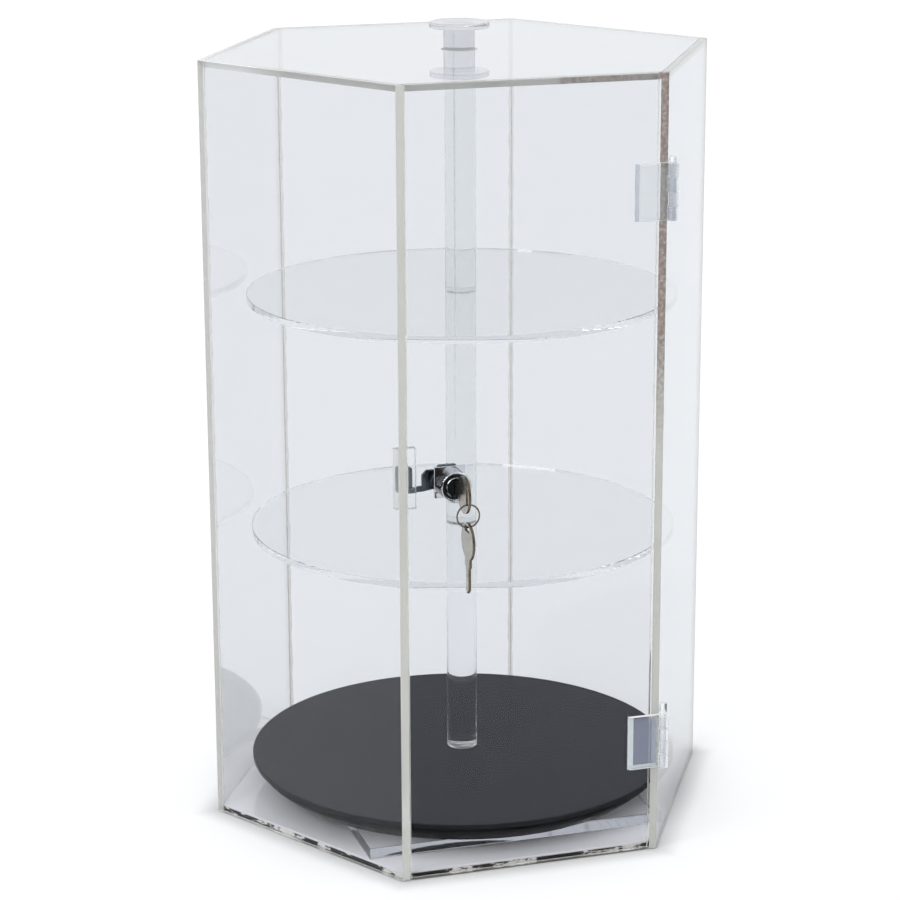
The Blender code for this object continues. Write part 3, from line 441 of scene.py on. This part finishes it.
def build_floor():
    """Plain pale floor, wide enough to fill the view behind the case, with a narrow painted shade at its
    foot.
    """
    mesh = bpy.data.meshes.new("studio_floor")
    bm = bmesh.new()
    bmesh.ops.create_grid(bm, x_segments=4, y_segments=4, size=14.0)
    bm.to_mesh(mesh)
    bm.free()
    floor = bpy.data.objects.new("studio_floor", mesh)
    bpy.context.scene.collection.objects.link(floor)
    floor.location.z = cad_box[0].z - 0.3 * MM
    # White paper, calendered matt: plain and without shine, its fibres drawn 3 mm apart so that they show
    finish, tree, output, place = new_finish("White paper, calendered matt")
    fibre = add(tree, "ShaderNodeTexNoise", {"Vector": place, "Scale": per_mm(3), "Detail": 2.0})
    tone = add(tree, "ShaderNodeMix",
               {"Factor": fibre.outputs["Fac"], MIX_A: linear("#ffffff"), MIX_B: linear("#fdfdfd")},
               data_type="RGBA")
    # How far out a spot lies, measured square to the nearest side of the hexagon
    reach = 0.0
    for angle in (30, 90, 150):
        facing = (math.cos(math.radians(angle)), math.sin(math.radians(angle)), 0.0)
        across = add(tree, "ShaderNodeVectorMath", {0: place, 1: facing}, operation="DOT_PRODUCT")
        offset = add(tree, "ShaderNodeMath", {0: across.outputs["Value"]}, operation="ABSOLUTE")
        reach = add(tree, "ShaderNodeMath", {0: reach, 1: offset.outputs["Value"]},
                    operation="MAXIMUM").outputs["Value"]
    # The painted shade fades out 18 mm from the case, and the paper under the base panel keeps its full tone
    painted_shade_fade = add(tree, "ShaderNodeMapRange",
               {"Value": reach, "From Min": APOTHEM - 2 * MM, "From Max": APOTHEM + 18 * MM,
                "To Min": 0.7, "To Max": 1.0}, interpolation_type="SMOOTHSTEP")
    under = add(tree, "ShaderNodeMath", {0: reach, 1: APOTHEM - 3 * MM}, operation="LESS_THAN")
    shade = add(tree, "ShaderNodeMath", {0: painted_shade_fade.outputs["Result"], 1: under.outputs["Value"]},
                operation="MAXIMUM")
    # The paper's tone is multiplied by the painted shade
    paper = add(tree, "ShaderNodeMix",
                {"Factor": 1.0, MIX_A: tone.outputs[MIX_RESULT], MIX_B: shade.outputs["Value"]},
                data_type="RGBA", blend_type="MULTIPLY")
    body = add(tree, "ShaderNodeBsdfPrincipled",
               {"Base Color": paper.outputs[MIX_RESULT], "Roughness": 0.9, "Specular IOR Level": 0.1})
    tree.links.new(body.outputs["BSDF"], output.inputs["Surface"])
    mesh.materials.append(finish)


def build_lights():
    """Soft key from the front left, a fill, an overhead diffuser and a room that is darker in front."""
    world = bpy.data.worlds.new("studio")
    bpy.context.scene.world = world
    world.use_nodes = True
    tree = world.node_tree
    tree.nodes.clear()
    direction = add(tree, "ShaderNodeTexCoord").outputs["Generated"]
    split = add(tree, "ShaderNodeSeparateXYZ", {"Vector": direction})
    behind = add(tree, "ShaderNodeMapRange", {"Value": split.outputs["Y"], "From Min": -0.4, "From Max": 0.2})
    walls = add(tree, "ShaderNodeMix",
                {"Factor": behind.outputs["Result"], MIX_A: linear("#a39a8e"), MIX_B: linear("#f6f8fa")},
                data_type="RGBA")
    rise = add(tree, "ShaderNodeMapRange", {"Value": split.outputs["Z"], "From Min": 0.25, "From Max": 0.7})
    room = add(tree, "ShaderNodeMix",
               {"Factor": rise.outputs["Result"], MIX_A: walls.outputs[MIX_RESULT], MIX_B: linear("#dfe2e5")},
               data_type="RGBA")
    # A dark doorway in front on the left, which draws the dark bands on the lock
    doorway = (-0.82, -0.56, 0.1)
    towards = add(tree, "ShaderNodeVectorMath", {0: direction, 1: doorway}, operation="DOT_PRODUCT")
    strength = add(tree, "ShaderNodeMapRange",
                   {"Value": towards.outputs["Value"], "From Min": 0.86, "From Max": 0.95,
                    "To Min": 0.985, "To Max": 0.06})
    glow = add(tree, "ShaderNodeBackground",
               {"Color": room.outputs[MIX_RESULT], "Strength": strength.outputs["Result"]})
    add(tree, "ShaderNodeOutputWorld", {"Surface": glow.outputs["Background"]})

    # Each lamp: where its light comes from, how wide it looks in degrees, and its strength
    lamps = {"overhead_diffuser": ((-0.2, -0.2, 1.0), 75, 0.31),
             "left_key": ((-0.75, -0.5, 0.6), 45, 1.14),
             "right_fill": ((0.7, -0.5, 0.6), 50, 0.44)}
    for name, (source, spread, power) in lamps.items():
        lamp = bpy.data.lights.new(name, "SUN")
        lamp.angle = math.radians(spread)
        lamp.energy = power
        sun = bpy.data.objects.new(name, lamp)
        sun.rotation_euler = (-Vector(source)).to_track_quat("-Z", "Y").to_euler()
        bpy.context.scene.collection.objects.link(sun)


def build_camera():
    """Camera of the photograph: a long lens, a little above the case and to the left of its door."""
    azimuth = math.radians(-17.209)
    elevation = math.radians(15.457)
    roll = math.radians(-0.241)
    distance = 1.8643
    target_right = -0.00703
    target_height = 0.2386
    focal_pixels = 2770.1
    photo_pixels = 900
    right = Vector((math.cos(azimuth), math.sin(azimuth), 0.0))
    back = Vector((math.sin(azimuth) * math.cos(elevation), -math.cos(azimuth) * math.cos(elevation),
                   math.sin(elevation)))
    up = back.cross(right)
    rolled_right = right * math.cos(roll) + up * math.sin(roll)
    rolled_up = up * math.cos(roll) - right * math.sin(roll)
    turn = Matrix((rolled_right, rolled_up, back)).transposed()
    target = right * target_right + UP * target_height
    lens = bpy.data.cameras.new("photo_camera")
    lens.sensor_width = 36.0
    lens.lens = focal_pixels / photo_pixels * lens.sensor_width
    lens.clip_start = 0.05
    lens.clip_end = 60.0
    camera = bpy.data.objects.new("photo_camera", lens)
    camera.matrix_world = Matrix.Translation(target + back * distance) @ turn.to_4x4()
    bpy.context.scene.collection.objects.link(camera)
    bpy.context.scene.camera = camera


# Cast acrylic sheet: nearly invisible faces, seen by their edges
sheet = clear_plastic("Cast acrylic sheet, polished", "#eeeff1", "#fefefe", 90, 0.01, mirror=0.1)
# Cut edges of the sheet: pale all round, grey-brown along the door's upper hinge side
sheet_edge = cut_edge("Cast acrylic, sawn and scraped edge", "#cccdc9", "#84706a", 0.5, 0.15)
dress(("left_wall", "top_panel"), sheet, sheet_edge)
# The right wall, looked along so that it mirrors the floor: a greyer tint, painted shade, keeps it from going
# white
sheet_painted_shade = clear_plastic("Cast acrylic sheet, polished, painted shade", "#d6d9dd", "#fefefe", 90, 0.01, mirror=0.1)
dress(("right_wall",), sheet_painted_shade, sheet_edge)
# Edges of the door and of the back walls, scraped cleaner: lighter lines
clean_edge = cut_edge("Cast acrylic, cleanly scraped edge", "#e2e2dd", "#d8d6d0", 0.7, 0.1)
dress(BACK_WALLS + ("door_panel",), sheet, clean_edge)
# Water clear shelf stock with a turned, polished rim: only the rim catches the eye
shelf = clear_plastic("Cast acrylic sheet, turned edge", "#feffff", "#ffffff", 90, 0.01, mirror=0.7)
dress(("lower_shelf", "upper_shelf"), shelf)
dress(("strike_plate",), shelf, clean_edge)
# Riser plate: the same stock, tinted greyer where its thick sides are looked into, as painted shade from the
# pan above them
riser_side_painted_shade = clear_plastic("Cast acrylic sheet, scraped side, painted shade", "#d4d5da", "#f4f4f8", 8, 0.02, 0.04, 0.7)
dress(("riser_plate",), shelf, riser_side_painted_shade)
# Edges of the base: dark cement ran along the lower 3 mm, which gives a ragged black line
base_edge = smeared_edge("Cast acrylic, sawn edge smeared with cement", 3 * MM, 0.9, 0.0)
# The base panel is painted milky white, painted light for the floor's glow through clear acrylic
dress(("base_panel",), base_painted_light(), base_edge)
# Knob: the same stock in a thicker piece, so it looks a little grey
knob = clear_plastic("Cast acrylic, turned and polished", "#e3e3e8", "#f4f4f8", 30, 0.01, 0.03, 0.7)
dress(("knob_disc",), knob)
# Extruded acrylic rod: a solid lens that turns what is behind it over, greyer above the top panel
rod = clear_plastic("Extruded acrylic rod, polished", "#f2f4f4", "#f4f7f8", 40, 0.01,
                    mirror=0.7, tip="#e1e1e6")
dress(("upper_shaft", "middle_shaft"), rod)
# Lowest length of the rod: clearer, so it looks brighter than the rest
clear_rod = clear_plastic("Extruded acrylic rod, water clear", "#f9f9fb", "#f4f7f8", 40, 0.01, mirror=0.7)
dress(("lower_shaft",), clear_rod)
# Lower end of the rod: sawn and cemented, so bright and dark chips show through it
rod_end = smeared_edge("Extruded acrylic rod, sawn end, cemented", HEIGHT, 0.78, 1.0)
finish_ends("lower_shaft", rod_end, (DOWN,))
# Hinges of moulded acrylic: clear, a little hazy from the mould
hinge = clear_plastic("Clear acrylic, moulded", "#f6f7f8", "#eef2f3", 8, 0.02, 0.06)
dress(LOWER_LEAVES + HINGE_PINS, hinge)
# Upper hinge: the same, with darker sides
hinge_side = clear_plastic("Clear acrylic, moulded, grey sides", "#d9dce0", "#eef2f3", 8, 0.02, 0.02)
dress(UPPER_LEAVES, hinge, hinge_side)
# Trimmed ends of the hinge knuckles, which show as white rings through the clear barrel
knuckle_end = cut_edge("Clear acrylic, trimmed knuckle end", "#ffffff", "#ffffff", 0.25, 0.3)
for leaf_name in UPPER_LEAVES + LOWER_LEAVES:
    finish_ends(leaf_name, knuckle_end, (UP, DOWN))
# Turntable: one black ABS in two copies, a lighter grey painted sheen on the disc's top and a deeper black
# painted shade on its rim and on the pan
black_painted_shade = satin_black("Black ABS, moulded, painted shade", "#121317", "#1b1c20")
black_painted_sheen = satin_black("Black ABS, moulded satin grain, painted sheen", "#1e1f25", "#3d3e44")
dress(("turntable_pan",), black_painted_shade)
dress(("turntable_disc",), black_painted_sheen, black_painted_shade)
dress(("ball_cage",), cage_plastic())
# Chromium plate on a die-cast lock: a cool mirror that shows the studio in bands
chrome = metal("Chromium plate on die-cast zinc", "#c4c7cb", "#b2b6bb", 0.05, 0.1, 6, 0.0004)
dress(("lock_base_plate",), chrome)
# The housing's chrome carries a painted dark reflection on its left
dress(("lock_housing",), chrome_painted_dark_reflection())
# Blackened steel of the lock's working parts: dark, with soft grey glints
blackened = metal("Blackened steel, oiled", "#2b2e30", "#1c1e20", 0.18, 0.3, 4, 0.004)
dress(("lock_plug",), blackened)
finish_lock_face(blackened, chrome)
# Zinc plate on the cam and its nut: blue-grey and soft, seen through the door
zinc = metal("Zinc plate on pressed steel", "#636c73", "#4f565c", 0.22, 0.36, 5, 0.004)
dress(("hook_cam", "lock_nut"), zinc)
# Turned steel of the screws and balls: grey and clean
steel = metal("Bearing steel, turned", "#b9babb", "#a4a5a6", 0.15, 0.28, 3, 0.004)
dress(["pivot_screw", "cam_screw"] + [name for name in nodes if name.startswith("bearing_ball")], steel)
# Nickel plate on stamped brass: warm grey, dulled by handling
nickel = metal("Nickel plate on stamped brass", "#c6c2b8", "#a39d92", 0.16, 0.3, 4, 0.004)
# The sides of the keys: sheared, so the plate is thin and brown
sheared = metal("Nickel plate on brass, sheared side", "#75695a", "#574d41", 0.25, 0.4, 2, 0.004)
dress(("lock_key", "spare_key"), nickel, sheared)
# Drawn spring wire: dark and slightly streaked
wire = metal("Spring steel wire, drawn", "#7d766e", "#5d5853", 0.2, 0.35, 2, 0.004)
dress(("key_ring",), wire)

# Dried cement in the corners: a faint film in the joint, and a beige bead inside
joint_film = dried_cement("Solvent cement, dried joint film", "#e4e2dd", 0.25, 1.5)
joint_bead = dried_cement("Solvent cement, dried corner bead", "#dcd8d1", 0.26, 1.5)
for corner_name, degrees in {"left": 180, "back_left": 120, "back_right": 60, "right": 0}.items():
    cement_seam(f"{corner_name}_corner_film", math.radians(degrees), mitre_film, joint_film)
    cement_seam(f"{corner_name}_corner_bead", math.radians(degrees), corner_bead, joint_bead)
# Cement under the lower hinge: blue-grey haze inside, whitened along the outer edges
hazy_film = dried_cement("Solvent cement, dried thin film", "#b6bbdd", 0.24, 2.2)
white_bead = dried_cement("Solvent cement, dried and whitened", "#f2f3f5", 0.85, 1.2)
# Cement under the upper hinge: hardly to be seen
faint_film = dried_cement("Solvent cement, dried faint film", "#dcdee2", 0.1, 2.2)
faint_bead = dried_cement("Solvent cement, dried faint bead", "#e2e3e6", 0.15, 1.2)
# Each leaf runs from the hinge along one side of the hexagon and looks out from it
door_along = Vector((-1.0, 0.0, 0.0))
door_outward = Vector((0.0, -1.0, 0.0))
wall_along = Vector((0.5, math.sqrt(0.75), 0.0))
wall_outward = Vector((math.sqrt(0.75), -0.5, 0.0))
hinge_finishes = {"upper_hinge": (faint_film, faint_bead), "lower_hinge": (hazy_film, white_bead)}
for hinge_name, (film, bead) in hinge_finishes.items():
    hinge_cement(hinge_name + "_door_leaf", door_along, door_outward, "door", film, bead)
    hinge_cement(hinge_name + "_wall_leaf", wall_along, wall_outward, "case", film, bead)

build_floor()
build_lights()
build_camera()
scene = bpy.context.scene
scene.view_settings.view_transform = "Standard"
# Clear sheets behind each other need many bounces, and without caustics they stay free of bright specks
scene.cycles.max_bounces = 128
scene.cycles.transmission_bounces = 128
scene.cycles.glossy_bounces = 128
scene.cycles.transparent_max_bounces = 40
scene.cycles.caustics_refractive = False
scene.cycles.caustics_reflective = False
